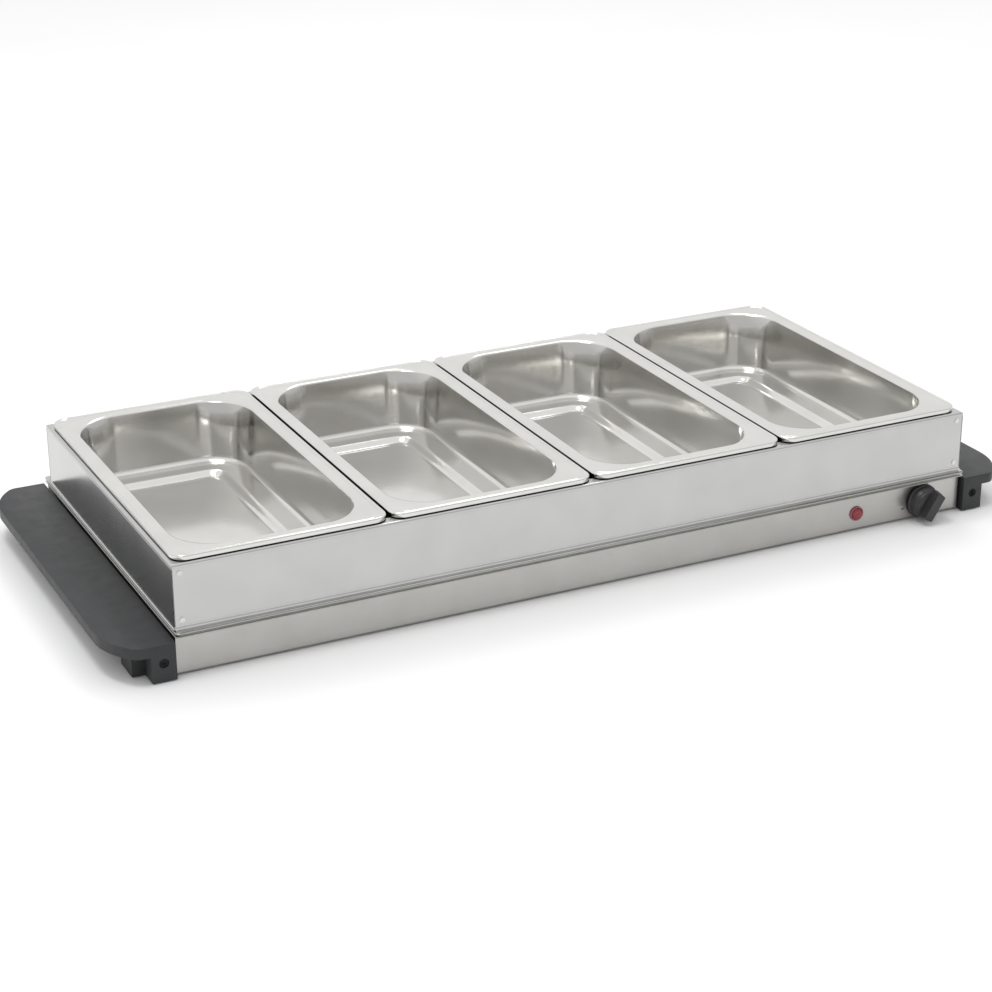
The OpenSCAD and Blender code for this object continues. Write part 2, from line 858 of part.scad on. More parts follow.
module element_terminals() {
    color("white")
        for (k = [0, element_runs - 1])
            translate([element_right_x, element_y + k * run_pitch, element_z])
                rotate([0, 90, 0]) {
                    cylinder(r = element_r + fit_gap, h = sleeve_len);
                    translate([0, 0, sleeve_len - eps]) cylinder(r = pin_r, h = pin_len);
                }
}

module heat_reflector() {
    low = [reflector_left_x, reflector_front_y, reflector_z];
    high = [reflector_right_x, reflector_back_y, plate_under_z - reflector_gap];
    sheet = [reflector_sheet, reflector_sheet, reflector_sheet];
    color("whitesmoke")
        difference() {
            box(low, high);
            box(low + sheet, [high[0] - reflector_sheet, high[1] - reflector_sheet, high[2] + 1]);
            for (p = post_places) translate([p[0], p[1], reflector_z - 1]) cylinder(r = post_r + 0.1, h = 3);
            // Openings for the element's two cold ends
            for (k = [0, element_runs - 1])
                translate([reflector_right_x - 3, element_y + k * run_pitch, element_z])
                    rotate([0, 90, 0]) cylinder(r = element_r + 1.4, h = 6);
        }
}

post_places = [
    for (x = [-0.5, 0, 0.5])
        for (y = [0, 1])
            [
                (reflector_left_x + reflector_right_x) / 2 + x * (reflector_right_x - reflector_left_x - 60),
                element_y + run_pitch * (y == 0 ? 0.5 : 2.5)
            ]
];

// Posts that hold the reflector and the mat between the cover and the plate
module reflector_posts() {
    color("lightgray")
        for (p = post_places)
            translate([p[0], p[1], inside_z])
                cylinder(r = post_r, h = plate_under_z - fit_gap - inside_z);
}

module insulation_mat() {
    color("khaki")
        difference() {
            box(
                [reflector_left_x + 4, reflector_front_y + 4, reflector_z - fit_gap - mat_t],
                [reflector_right_x - 4, reflector_back_y - 4, reflector_z - fit_gap]
            );
            for (p = post_places) translate([p[0], p[1], 0]) cylinder(r = post_r + 0.5, h = 60);
        }
}

// ---------- thermostat, knob and indicator ----------

bracket_t = 1.2;
module thermostat_body() {
    color("saddlebrown")
        difference() {
            union() {
                box(
                    [knob_x - body_w / 2, body_y, knob_z - body_h / 2],
                    [knob_x + body_w / 2, body_y + body_depth, knob_z + body_h / 2]
                );
                translate([knob_x, front_y + base_sheet + 0.2, knob_z])
                    rotate([-90, 0, 0]) cylinder(r = bush_r, h = bush_len);
                for (s = [-1, 1])
                    box(
                        [knob_x + s * blade_x - 3, body_y + body_depth - eps, knob_z - 0.4],
                        [knob_x + s * blade_x + 3, body_y + body_depth + blade_len, knob_z + 0.4]
                    );
            }
            translate([knob_x, front_y, knob_z])
                rotate([-90, 0, 0])
                    cylinder(r = shaft_r + shaft_clearance, h = base_sheet + bush_len + shaft_len_inside + 0.5);
        }
}

module thermostat_bracket() {
    color("silver")
        difference() {
            box(
                [knob_x - body_w / 2 - 1, body_y - bracket_t - 0.1, knob_z - 8],
                [knob_x + body_w / 2 + 1, body_y - 0.1, knob_z + 8]
            );
            translate([knob_x, front_y, knob_z]) rotate([-90, 0, 0]) cylinder(r = bush_r + fit_gap, h = 30);
            for (s = [-1, 1])
                translate([knob_x + s * bracket_screw_x, front_y, knob_z])
                    rotate([-90, 0, 0]) cylinder(r = bracket_screw_r + 0.05, h = 30);
        }
}

module thermostat_screws() {
    color("lightgray")
        for (s = [-1, 1])
            translate([knob_x + s * bracket_screw_x, front_y, knob_z]) rotate([-90, 0, 0]) {
                translate([0, 0, -0.4]) cylinder(r = 2.6, h = 0.4);
                translate([0, 0, -eps]) cylinder(r = bracket_screw_r, h = base_sheet + bush_len - 0.2);
            }
}

knob_back = 1;
skirt_t = 2.6;
hub_len = 9.4;
shaft_front = 4;
module thermostat_shaft() {
    y0 = front_y - knob_reach + shaft_front + 2;
    y1 = front_y + base_sheet + bush_len + shaft_len_inside;
    color("silver")
        translate([knob_x, y0, knob_z]) rotate([-90, 0, 0]) cylinder(r = shaft_r, h = y1 - y0);
}

module control_knob() {
    y_skirt = front_y - knob_back;
    color("darkslategray")
        difference() {
            translate([knob_x, y_skirt, knob_z])
                rotate([90, 0, 0]) {
                    cylinder(r = knob_r, h = skirt_t);
                    translate([0, 0, skirt_t - eps]) cylinder(r = knob_r - 0.8, h = hub_len);
                    translate([0, 0, skirt_t + hub_len - 2 * eps])
                        rotate(-pointer_angle)
                            intersection() {
                                cylinder(r = knob_r - 1, h = knob_reach - knob_back - skirt_t - hub_len);
                                box([-grip_w / 2, -knob_r, 0], [grip_w / 2, knob_r, knob_reach]);
                            }
                }
            translate([knob_x, front_y - knob_reach + shaft_front, knob_z])
                rotate([-90, 0, 0]) cylinder(r = shaft_r, h = knob_reach);
        }
}

bezel_proud = 1.6;
module indicator_bezel() {
    color("lightgray")
        difference() {
            translate([lamp_x, front_y - bezel_proud, knob_z])
                rotate([-90, 0, 0]) cylinder(r = lamp_r, h = bezel_proud - 0.05);
            translate([lamp_x, front_y - 4, knob_z])
                rotate([-90, 0, 0]) cylinder(r = lens_r + 0.2, h = 6);
        }
}

lens_r = lamp_r - 1.5;
module indicator_lens() {
    color("firebrick")
        translate([lamp_x, front_y + 2, knob_z])
            rotate([90, 0, 0]) {
                cylinder(r = lens_r, h = 2 + bezel_proud);
                translate([0, 0, 2 + bezel_proud - eps]) lens_dome();
            }
}

// Shallow dome, cut from a sphere
module lens_dome() {
    rise = 1.6;
    ball = (lens_r * lens_r + rise * rise) / (2 * rise);
    rotate_extrude()
        intersection() {
            translate([0, rise - ball]) circle(ball, $fn = 120);
            square([lens_r, rise]);
        }
}

module indicator_body() {
    color("ivory")
        translate([lamp_x, front_y + 2.1, knob_z]) rotate([-90, 0, 0]) {
            cylinder(r = lens_r, h = 14);
            translate([0, 0, 1]) cylinder(r = lens_r + 1.6, h = 2);
            for (s = [-1, 1]) box([s * 2.5 - 1, -0.4, 14 - eps], [s * 2.5 + 1, 0.4, 20]);
        }
}

// ---------- wiring ----------

fuse_x = element_right_x + 24;
fuse_z = 24;
fuse_len = 18;
fuse_lead = 6;
module thermal_fuse() {
    color("white")
        translate([fuse_x, fuse_y, fuse_z]) rotate([-90, 0, 0]) {
            cylinder(r = 2.4, h = fuse_len);
            translate([0, 0, -fuse_lead]) cylinder(r = pin_r, h = fuse_len + 2 * fuse_lead);
        }
}

block_h = 14;
block_pitch = 10;
module terminal_block() {
    color("ivory")
        difference() {
            box([block_x - 16, block_y - 9, inside_z], [block_x + 16, block_y + 9, inside_z + block_h]);
            for (k = [-1 : 1])
                translate([block_x + k * block_pitch, block_y - 10, inside_z + 7])
                    rotate([-90, 0, 0]) cylinder(r = 2, h = 20);
            for (k = [-1 : 1])
                for (s = [-1, 1])
                    translate([block_x + k * block_pitch, block_y + s * 5, inside_z + 8.9])
                        cylinder(r = 1.9, h = 8);
        }
}

module terminal_screws() {
    color("lightgray")
        for (k = [-1 : 1])
            for (s = [-1, 1])
                translate([block_x + k * block_pitch, block_y + s * 5, inside_z + 9])
                    cylinder(r = 1.8, h = 4);
}

earth_z = 18;
earth_r = 2;
module earth_stud() {
    color("goldenrod")
        translate([inner_x, earth_y, earth_z]) rotate([0, -90, 0]) {
            translate([0, 0, -base_sheet]) cylinder(r = earth_r, h = 9 + base_sheet);
            translate([0, 0, 0.05]) cylinder(r = 4, h = 3, $fn = 6);
        }
}

module cord_inlet_bush() {
    color("black")
        translate([inlet_x, back_y, inlet_z])
            rotate([-90, 0, 0])
                difference() {
                    union() {
                        translate([0, 0, 0.05]) cylinder(r = inlet_flange_r, h = 3.5);
                        translate([0, 0, -9]) cylinder(r = inlet_body_r - 0.05, h = 9.1);
                        translate([0, 0, -9]) cylinder(r = inlet_body_r + 1, h = 8.1);
                    }
                    translate([0, 0, -10]) cylinder(r = inlet_bore_r, h = 16);
                }
}

wire_r = 1.3;
lead_r = 0.9;
wire_gap = 0.8;
// Straight stretch of a wire where it meets the fuse, so that its end lies square to it
straight_end = 5;
wire_sides = 8;
wire_steps = 4;

// Catmull-Rom curve through a list of points
function spline_at(p, i, t) =
    let (
        a = p[max(i - 1, 0)],
        b = p[i],
        c = p[i + 1],
        d = p[min(i + 2, len(p) - 1)]
    )
    0.5 * (2 * b + (c - a) * t + (2 * a - 5 * b + 4 * c - d) * t * t + (3 * b - a - 3 * c + d) * t * t * t);
function spline(p) = concat(
    [for (i = [0 : len(p) - 2]) for (k = [0 : wire_steps - 1]) spline_at(p, i, k / wire_steps)],
    [p[len(p) - 1]]
);
function unit(v) = v / norm(v);
function heading(s, i) = unit(s[min(i + 1, len(s) - 1)] - s[max(i - 1, 0)]);

// Tube through a list of points, as one closed mesh
module tube(s, r, sides) {
    n = len(s);
    points = [
        for (i = [0 : n - 1])
            let (
                h = heading(s, i),
                side = unit(cross(h, abs(h[2]) < 0.8 ? [0, 0, 1] : [1, 0, 0])),
                up = cross(side, h)
            )
            for (k = [0 : sides - 1])
                let (a = 360 * k / sides)
                s[i] + r * cos(a) * side + r * sin(a) * up
    ];
    faces = concat(
        [[for (k = [0 : sides - 1]) k]],
        [
            for (i = [0 : n - 2])
                for (k = [0 : sides - 1])
                    let (m = (k + 1) % sides)
                    each [
                        [i * sides + k, (i + 1) * sides + k, (i + 1) * sides + m],
                        [i * sides + k, (i + 1) * sides + m, i * sides + m]
                    ]
        ],
        [[for (k = [sides - 1 : -1 : 0]) (n - 1) * sides + k]]
    );
    polyhedron(points = points, faces = faces, convexity = 8);
}

module wire(route, r) {
    tube(spline(route), r, wire_sides);
}

block_front = [block_x, block_y - 9.2, inside_z + 7];
tab_y = body_y + body_depth + blade_len + 0.3;
live_route = [
    block_front + [-block_pitch, 0, 0],
    block_front + [-12, -12, 1],
    [fuse_x + 6, fuse_y + 60, 20],
    [fuse_x, fuse_y + 36, fuse_z],
    [fuse_x, fuse_y + fuse_len + fuse_lead + wire_gap + straight_end, fuse_z],
    [fuse_x, fuse_y + fuse_len + fuse_lead + wire_gap, fuse_z]
];
switched_route = [
    [knob_x - blade_x, tab_y, knob_z],
    [knob_x - 9, tab_y + 12, knob_z],
    [knob_x - 20, tab_y + 22, 22],
    [element_right_x + 26, element_y + 2, element_z],
    [element_right_x + sleeve_len + pin_len + wire_gap, element_y, element_z]
];
neutral_route = [
    block_front,
    block_front + [-2, -14, 0],
    block_front + [-12, -26, 6],
    [element_right_x + 30, element_y + 3 * run_pitch - 4, element_z - 2],
    [element_right_x + sleeve_len + pin_len + wire_gap, element_y + 3 * run_pitch, element_z]
];
fuse_route = [
    [fuse_x, fuse_y - fuse_lead - wire_gap, fuse_z],
    [fuse_x, fuse_y - fuse_lead - wire_gap - straight_end, fuse_z],
    [fuse_x, fuse_y - 18, fuse_z],
    [knob_x - 4, pans_y - 30, 20],
    [knob_x + blade_x, tab_y + 30, knob_z],
    [knob_x + blade_x, tab_y, knob_z]
];
earth_route = [
    block_front + [block_pitch, 0, 0],
    block_front + [12, -14, 2],
    [inner_x - 14, earth_y + 20, earth_z],
    [inner_x - 12, earth_y + 6, earth_z],
    [inner_x - 10.5, earth_y, earth_z]
];
lamp_back_y = front_y + 22.6;
function lamp_route(s) = [
    [lamp_x + s * 2.5, lamp_back_y, knob_z],
    [lamp_x + 5 + s * 3, lamp_back_y + 7 - s * 2, knob_z - 4],
    [lamp_x + 26, lamp_back_y + 10 - s * 2.5, 8],
    [knob_x - 26 + s * 2, lamp_back_y + 14 - s * 2, 8],
    [knob_x - 22 + s * 2.5, lamp_back_y + 40, 8]
];

module live_wire() {
    color("saddlebrown") {
        wire(live_route, wire_r);
        wire(fuse_route, wire_r);
    }
}

module switched_wire() {
    color("black") wire(switched_route, wire_r);
}

module neutral_wire() {
    color("steelblue") wire(neutral_route, wire_r);
}

module lamp_leads() {
    color("tomato")
        for (s = [-1, 1]) wire(lamp_route(s), lead_r);
}

module earth_wire() {
    color("yellowgreen") wire(earth_route, wire_r);
}

warming_plate();
rim_surround();
base_front_panel();
base_back_panel();
base_end(-1);  // base_left_end
base_end(1);  // base_right_end
bottom_cover();
bottom_cover_screws();
left_handle();
right_handle();
handle_screws();
leg_screws();
foot_pads();
heating_element();
element_clamps();
element_terminals();
heat_reflector();
reflector_posts();
insulation_mat();
thermostat_body();
thermostat_bracket();
thermostat_screws();
thermostat_shaft();
control_knob();
indicator_lens();
indicator_bezel();
indicator_body();
thermal_fuse();
terminal_block();
terminal_screws();
earth_stud();
live_wire();
switched_wire();
neutral_wire();
lamp_leads();
earth_wire();
cord_inlet_bush();
frame_long_panel(1);  // frame_front_panel
frame_long_panel(-1);  // frame_back_panel
frame_end_panel(-1);  // frame_left_panel
frame_end_panel(1);  // frame_right_panel
frame_rivets();
pan(0);  // pan_1
pan(1);  // pan_2
pan(2);  // pan_3
pan(3);  // pan_4
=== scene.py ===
"""Electric buffet server: its looks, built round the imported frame. Lengths are in metres."""

import json
import math

import bmesh
import bpy
from mathutils import Matrix, Vector


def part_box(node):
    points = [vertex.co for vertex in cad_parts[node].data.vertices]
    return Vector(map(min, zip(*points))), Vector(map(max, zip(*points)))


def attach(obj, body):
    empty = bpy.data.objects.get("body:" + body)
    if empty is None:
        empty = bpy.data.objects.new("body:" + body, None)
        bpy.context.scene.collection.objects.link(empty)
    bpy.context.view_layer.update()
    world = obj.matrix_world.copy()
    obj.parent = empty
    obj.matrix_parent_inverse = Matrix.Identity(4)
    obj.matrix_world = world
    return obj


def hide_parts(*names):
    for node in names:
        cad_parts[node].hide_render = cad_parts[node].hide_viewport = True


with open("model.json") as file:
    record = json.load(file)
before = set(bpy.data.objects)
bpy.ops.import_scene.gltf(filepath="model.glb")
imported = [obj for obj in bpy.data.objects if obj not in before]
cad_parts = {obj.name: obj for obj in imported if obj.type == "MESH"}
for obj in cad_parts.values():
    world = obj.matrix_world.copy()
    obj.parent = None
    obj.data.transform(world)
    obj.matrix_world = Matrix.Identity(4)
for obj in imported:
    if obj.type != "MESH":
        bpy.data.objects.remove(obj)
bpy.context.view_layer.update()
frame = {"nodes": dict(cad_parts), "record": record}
NODES = frame["nodes"]
MM = 0.001
CORNER_STEPS = 14
ARC_STEPS = 8
WELD = 1e-6
FINE_WELD = 1e-7


# ---------- materials ----------

def linear(level):
    """The linear value of a display level from 0 to 255."""
    share = level / 255
    if share <= 0.04045:
        return share / 12.92
    return ((share + 0.055) / 1.055) ** 2.4


def tint(red, green, blue):
    """A colour from display levels."""
    return (linear(red), linear(green), linear(blue), 1)


NOISE_MIDDLE = (0.2, 0.8)
TONE_STOPS = (0.3, 0.7)
BRUSHED = (40, 40, 1500)
BRUSH_DEPTH = 0.0000012
TURNED_GRAIN = 300
SPARK_GRAIN = 1600


class Finish:
    """A node material on Object coordinates, built step by step."""

    def __init__(self, name):
        self.material = bpy.data.materials.new(name)
        self.material.use_nodes = True
        self.tree = self.material.node_tree
        self.shader = self.tree.nodes["Principled BSDF"]
        self.coordinates = self.tree.nodes.new("ShaderNodeTexCoord").outputs["Object"]

    def link(self, start, end):
        self.tree.links.new(start, end)

    def stretched(self, scale):
        mapping = self.tree.nodes.new("ShaderNodeMapping")
        mapping.inputs["Scale"].default_value = scale
        self.link(self.coordinates, mapping.inputs["Vector"])
        return mapping.outputs["Vector"]

    def noise(self, scale, detail=3.0):
        """Noise whose grain is 1 / scale metres along each axis."""
        node = self.tree.nodes.new("ShaderNodeTexNoise")
        node.inputs["Scale"].default_value = 1.0
        node.inputs["Detail"].default_value = detail
        node.inputs["Roughness"].default_value = 0.55
        self.link(self.stretched(scale), node.inputs["Vector"])
        return node.outputs["Fac"]

    def spread(self, value, low, high):
        """Maps noise's middle range to low..high."""
        node = self.tree.nodes.new("ShaderNodeMapRange")
        node.inputs["From Min"].default_value = NOISE_MIDDLE[0]
        node.inputs["From Max"].default_value = NOISE_MIDDLE[1]
        node.inputs["To Min"].default_value = low
        node.inputs["To Max"].default_value = high
        self.link(value, node.inputs["Value"])
        return node.outputs["Result"]

    def tones(self, value, dark, light):
        ramp = self.tree.nodes.new("ShaderNodeValToRGB")
        ramp.color_ramp.elements[0].position = TONE_STOPS[0]
        ramp.color_ramp.elements[0].color = dark
        ramp.color_ramp.elements[1].position = TONE_STOPS[1]
        ramp.color_ramp.elements[1].color = light
        self.link(value, ramp.inputs["Fac"])
        self.link(ramp.outputs["Color"], self.shader.inputs["Base Color"])

    def rough(self, value, low, high):
        self.link(self.spread(value, low, high), self.shader.inputs["Roughness"])

    def bumps(self, *layers):
        """Each layer is (height, depth in metres); the layers are stacked."""
        normal = None
        for height, depth in layers:
            bump = self.tree.nodes.new("ShaderNodeBump")
            bump.inputs["Strength"].default_value = 1.0
            bump.inputs["Distance"].default_value = depth
            self.link(height, bump.inputs["Height"])
            if normal is not None:
                self.link(normal, bump.inputs["Normal"])
            normal = bump.outputs["Normal"]
        self.link(normal, self.shader.inputs["Normal"])

    def set(self, **sockets):
        for name, value in sockets.items():
            self.shader.inputs[name.replace("_", " ")].default_value = value


def steel(name, dark, light, roughness, grain, grain_depth, wave_depth, wave=(7, 7, 7)):
    """Stainless sheet: fine grain, patchy gloss and a slight waviness."""
    finish = Finish(name)
    fine = finish.noise(grain, detail=2.0)
    patches = finish.noise((14, 14, 14), detail=1.0)
    finish.tones(finish.noise((25, 25, 25), detail=5.0), dark, light)
    finish.rough(patches, roughness * 0.9, roughness * 1.1)
    finish.bumps((finish.noise(wave, detail=0.0), wave_depth), (fine, grain_depth))
    finish.set(Metallic=1.0)
    return finish.material


def moulding(name, dark, light, roughness, depth=0.00004):
    """Moulded plastic or rubber with a fine spark-eroded grain."""
    finish = Finish(name)
    finish.tones(finish.noise((60, 60, 60), detail=6.0), dark, light)
    finish.rough(finish.noise((90, 90, 90), detail=4.0), roughness * 0.9, roughness * 1.15)
    finish.bumps((finish.noise((SPARK_GRAIN, SPARK_GRAIN, SPARK_GRAIN), detail=2.0), depth))
    return finish.material


def metal(name, dark, light, roughness):
    """Small plated or turned parts."""
    finish = Finish(name)
    finish.tones(finish.noise((120, 120, 120), detail=4.0), dark, light)
    finish.rough(finish.noise((200, 200, 200), detail=3.0), roughness * 0.8, roughness * 1.25)
    finish.bumps((finish.noise((TURNED_GRAIN, TURNED_GRAIN, TURNED_GRAIN * 6), detail=2.0), 0.00002))
    finish.set(Metallic=1.0)
    return finish.material


def lens_plastic(name):
    finish = Finish(name)
    finish.tones(finish.noise((500, 500, 500), detail=2.0), tint(118, 12, 26), tint(150, 22, 38))
    finish.rough(finish.noise((300, 300, 300)), 0.08, 0.16)
    finish.bumps((finish.noise((420, 420, 420), detail=1.0), 0.00005))
    finish.set(Coat_Weight=0.5, Coat_Roughness=0.05)
    return finish.material


def woven_mat(name):
    finish = Finish(name)
    across = finish.noise((900, 120, 300), detail=2.0)
    finish.tones(across, tint(170, 158, 120), tint(205, 196, 165))
    finish.rough(finish.noise((80, 80, 80)), 0.85, 0.98)
    finish.bumps((across, 0.0004), (finish.noise((120, 900, 300), detail=2.0), 0.0004))
    return finish.material


def make_materials():
    return {
        "base_steel": steel("base_steel", tint(182, 181, 178), tint(190, 189, 186), 0.3,
                            BRUSHED, BRUSH_DEPTH, 0.0003),
        "frame_steel": steel("frame_steel", tint(189, 189, 188), tint(196, 196, 195), 0.2,
                             BRUSHED, BRUSH_DEPTH, 0.0003),
        "pan_steel": steel("pan_steel", tint(213, 212, 209), tint(220, 219, 216), 0.14,
                           (420, 420, 60), BRUSH_DEPTH, 0.0005, wave=(12, 12, 12)),
        "rivet_steel": metal("rivet_steel", tint(205, 205, 203), tint(222, 222, 220), 0.3),
        "handle_plastic": moulding("handle_plastic", tint(40, 41, 43), tint(46, 47, 49), 0.5),
        "knob_plastic": moulding("knob_plastic", tint(42, 42, 43), tint(50, 50, 51), 0.36, depth=0.00002),
        "lens_red": lens_plastic("lens_red"),
        "bezel_plastic": moulding("bezel_plastic", tint(150, 88, 96), tint(165, 100, 108), 0.3,
                                  depth=0.00001),
        "foot_rubber": moulding("foot_rubber", tint(26, 26, 26), tint(36, 36, 36), 0.8),
        # painted shade: the leg screws are coloured near black to stand in for the shade of the recesses they
        # sit in
        "leg_screw_painted_shade": metal("leg_screw_painted_shade", tint(34, 34, 34), tint(52, 52, 52), 0.5),
        "screw_steel": metal("screw_steel", tint(190, 190, 190), tint(215, 215, 213), 0.25),
        "zinc_sheet": steel("zinc_sheet", tint(165, 168, 170), tint(190, 192, 194), 0.42,
                            (300, 300, 300), 0.00001, 0.0004),
        "element_steel": metal("element_steel", tint(70, 66, 62), tint(110, 104, 98), 0.5),
        "terminal_ceramic": moulding("terminal_ceramic", tint(214, 208, 194), tint(232, 227, 214), 0.6),
        "reflector_aluminium": steel("reflector_aluminium", tint(205, 206, 208), tint(222, 223, 225), 0.22,
                                     (400, 40, 400), 0.000006, 0.0005),
        "mat_fibre": woven_mat("mat_fibre"),
        "thermostat_plastic": moulding("thermostat_plastic", tint(52, 34, 26), tint(70, 48, 38), 0.5),
        "brass_parts": metal("brass_parts", tint(180, 148, 78), tint(208, 178, 104), 0.3),
        "wire_brown": moulding("wire_brown", tint(92, 52, 28), tint(112, 66, 38), 0.5),
        "wire_black": moulding("wire_black", tint(24, 24, 24), tint(36, 36, 36), 0.5),
        "wire_blue": moulding("wire_blue", tint(34, 74, 150), tint(46, 90, 168), 0.5),
        "wire_red": moulding("wire_red", tint(160, 34, 28), tint(180, 48, 40), 0.5),
        "wire_green": moulding("wire_green", tint(108, 160, 40), tint(140, 186, 56), 0.5),
    }


materials = make_materials()
node_slot = {part["node"]: part["material_slot"] for part in frame["record"]["subparts"]}


def finish_cad_nodes():
    for name, node in NODES.items():
        node.data.materials.clear()
        node.data.materials.append(materials[node_slot[name]])
    # the leg screws get the near-black metal, painted shade for their recesses
    NODES["leg_screws"].data.materials[0] = materials["leg_screw_painted_shade"]


# ---------- making pieces ----------

def new_piece(bm, name, body, slot, replaced=()):
    mesh = bpy.data.meshes.new(name)
    for edge in bm.edges:
        edge.smooth = not edge.is_boundary  # a cut edge stays crisp, so that a flat wall shades flat
    bm.to_mesh(mesh)
    bm.free()
    for polygon in mesh.polygons:
        polygon.use_smooth = True
    obj = bpy.data.objects.new(name, mesh)
    bpy.context.scene.collection.objects.link(obj)
    mesh.materials.append(materials[slot])
    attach(obj, body)
    if replaced:
        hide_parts(*replaced)
    return obj


def add_thickness(obj, thickness):
    """Thickens a sheet away from its visible side."""
    wall = obj.modifiers.new("sheet", "SOLIDIFY")
    wall.thickness = thickness
    wall.offset = -1
    wall.use_even_offset = True


def soften_edges(obj, width):
    edge = obj.modifiers.new("edges", "BEVEL")
    edge.width = width
    edge.segments = 3
    edge.limit_method = "ANGLE"
    edge.angle_limit = math.radians(35)
    edge.harden_normals = True
    edge.miter_outer = "MITER_ARC"


def arc(centre, radius, start, end, steps=ARC_STEPS):
    """Points [across, up] on an arc, with the angles in degrees."""
    points = []
    for k in range(steps + 1):
        angle = math.radians(start + (end - start) * k / steps)
        points.append((centre[0] + radius * math.cos(angle), centre[1] + radius * math.sin(angle)))
    return points


class Ring:
    """A rounded rectangle at one height."""

    def __init__(self, low, high, radius, z):
        self.low = low
        self.high = high
        self.radius = radius
        self.z = z

    def corner_centre(self, right, back):
        x = self.high[0] - self.radius if right else self.low[0] + self.radius
        y = self.high[1] - self.radius if back else self.low[1] + self.radius
        return Vector((x, y))

    def moved_to(self, other, point):
        """Where a point of this ring lies on the other ring."""
        right = point.x > (self.low[0] + self.high[0]) / 2
        back = point.y > (self.low[1] + self.high[1]) / 2
        spoke = point.xy - self.corner_centre(right, back)
        place = other.corner_centre(right, back) + spoke * (other.radius / self.radius)
        return Vector((place.x, place.y, other.z))


def draw_rings(bm, rings, fill=True):
    """A sheet drawn through rings, from the first outwards or inwards to the last."""
    first = rings[0]
    corners = [(first.low[0], first.low[1]), (first.high[0], first.low[1]),
               (first.high[0], first.high[1]), (first.low[0], first.high[1])]
    verts = [bm.verts.new((x, y, first.z)) for x, y in corners]
    bm.faces.new(verts)
    bmesh.ops.bevel(bm, geom=verts, offset=first.radius, offset_type="OFFSET", segments=CORNER_STEPS,
                    profile=0.5, affect="VERTICES", material=-1)
    bmesh.ops.delete(bm, geom=list(bm.faces), context="FACES_ONLY")
    edges = list(bm.edges)
    for ring, following in zip(rings, rings[1:]):
        grown = bmesh.ops.extrude_edge_only(bm, edges=edges)["geom"]
        edges = [g for g in grown if isinstance(g, bmesh.types.BMEdge) and g.is_boundary]
        for vert in (g for g in grown if isinstance(g, bmesh.types.BMVert)):
            vert.co = ring.moved_to(following, vert.co)
    if fill:
        bmesh.ops.edgeloop_fill(bm, edges=edges)
    bmesh.ops.recalc_face_normals(bm, faces=bm.faces)


def face_up(bm):
    """Turns the sheet so that its widest level face points up."""
    bm.faces.ensure_lookup_table()
    widest = max(bm.faces, key=lambda face: face.calc_area() * abs(face.normal.z))
    if widest.normal.z < 0:
        bmesh.ops.reverse_faces(bm, faces=bm.faces)


# ---------- pans ----------

PAN_SHEET = 0.7 * MM
PAN_COUNT = 4
RIM_DROP = 3.8 * MM
RIM_UPRIGHT_SHARE = 0.7
RIM_ROLL = 1.3 * MM
RIM_TOP_END = 2.5 * MM
RIM_SHOULDER = 0.4 * MM
RIM_SHOULDER_DROP = 0.08 * MM
RIM_GROOVE = 3.2 * MM
GROOVE_DROP = 0.75 * MM
GROOVE_TOE = 0.15 * MM
GROOVE_RISE = 0.3 * MM
GROOVE_EASE = 0.05 * MM
PAN_FLANGE = 12.6 * MM
FLANGE_DROP = 0.5 * MM
LIP_ROLL = 2.0 * MM
LIP_RUN_IN = 0.8 * MM
LIP_END_ANGLE = 6
PAN_RIM_CORNER = 12 * MM
PAN_OPENING_CORNER = 40 * MM
PAN_LEAST_CORNER = 2.5 * MM
PAN_DRAFT = 3.7 * MM
PAN_FILLET = 5 * MM
PAN_LEDGE = 15.5 * MM
PAN_LEDGE_DROP = 4.4 * MM
LEDGE_RUN_IN = 1 * MM
LEDGE_RUN_OUT = 1.5 * MM
PAN_STEP = 7 * MM
STEP_POINTS = 8
FLOOR_GROOVE = 0.9 * MM
FLOOR_GROOVE_DROP = 0.25 * MM
FLOOR_START = 3 * MM


def rim_profile(rim_drop):
    """The pan's rolled rim and the flange inside it, up to the lip."""
    points = [(0, -rim_drop), (0, -rim_drop * RIM_UPRIGHT_SHARE)]
    points += arc((RIM_ROLL, -RIM_ROLL), RIM_ROLL, 180, 90)
    points += [(RIM_TOP_END - RIM_SHOULDER, 0), (RIM_TOP_END, -RIM_SHOULDER_DROP)]
    points += [(RIM_GROOVE - GROOVE_TOE, -GROOVE_DROP + GROOVE_EASE), (RIM_GROOVE, -GROOVE_DROP)]
    points += [(RIM_GROOVE + GROOVE_RISE, -FLANGE_DROP - GROOVE_EASE)]
    points += [(RIM_GROOVE + 2 * GROOVE_RISE, -FLANGE_DROP), (RIM_GROOVE + 3 * GROOVE_RISE, -FLANGE_DROP)]
    points += [(PAN_FLANGE - LIP_ROLL - LIP_RUN_IN, -FLANGE_DROP)]
    return points


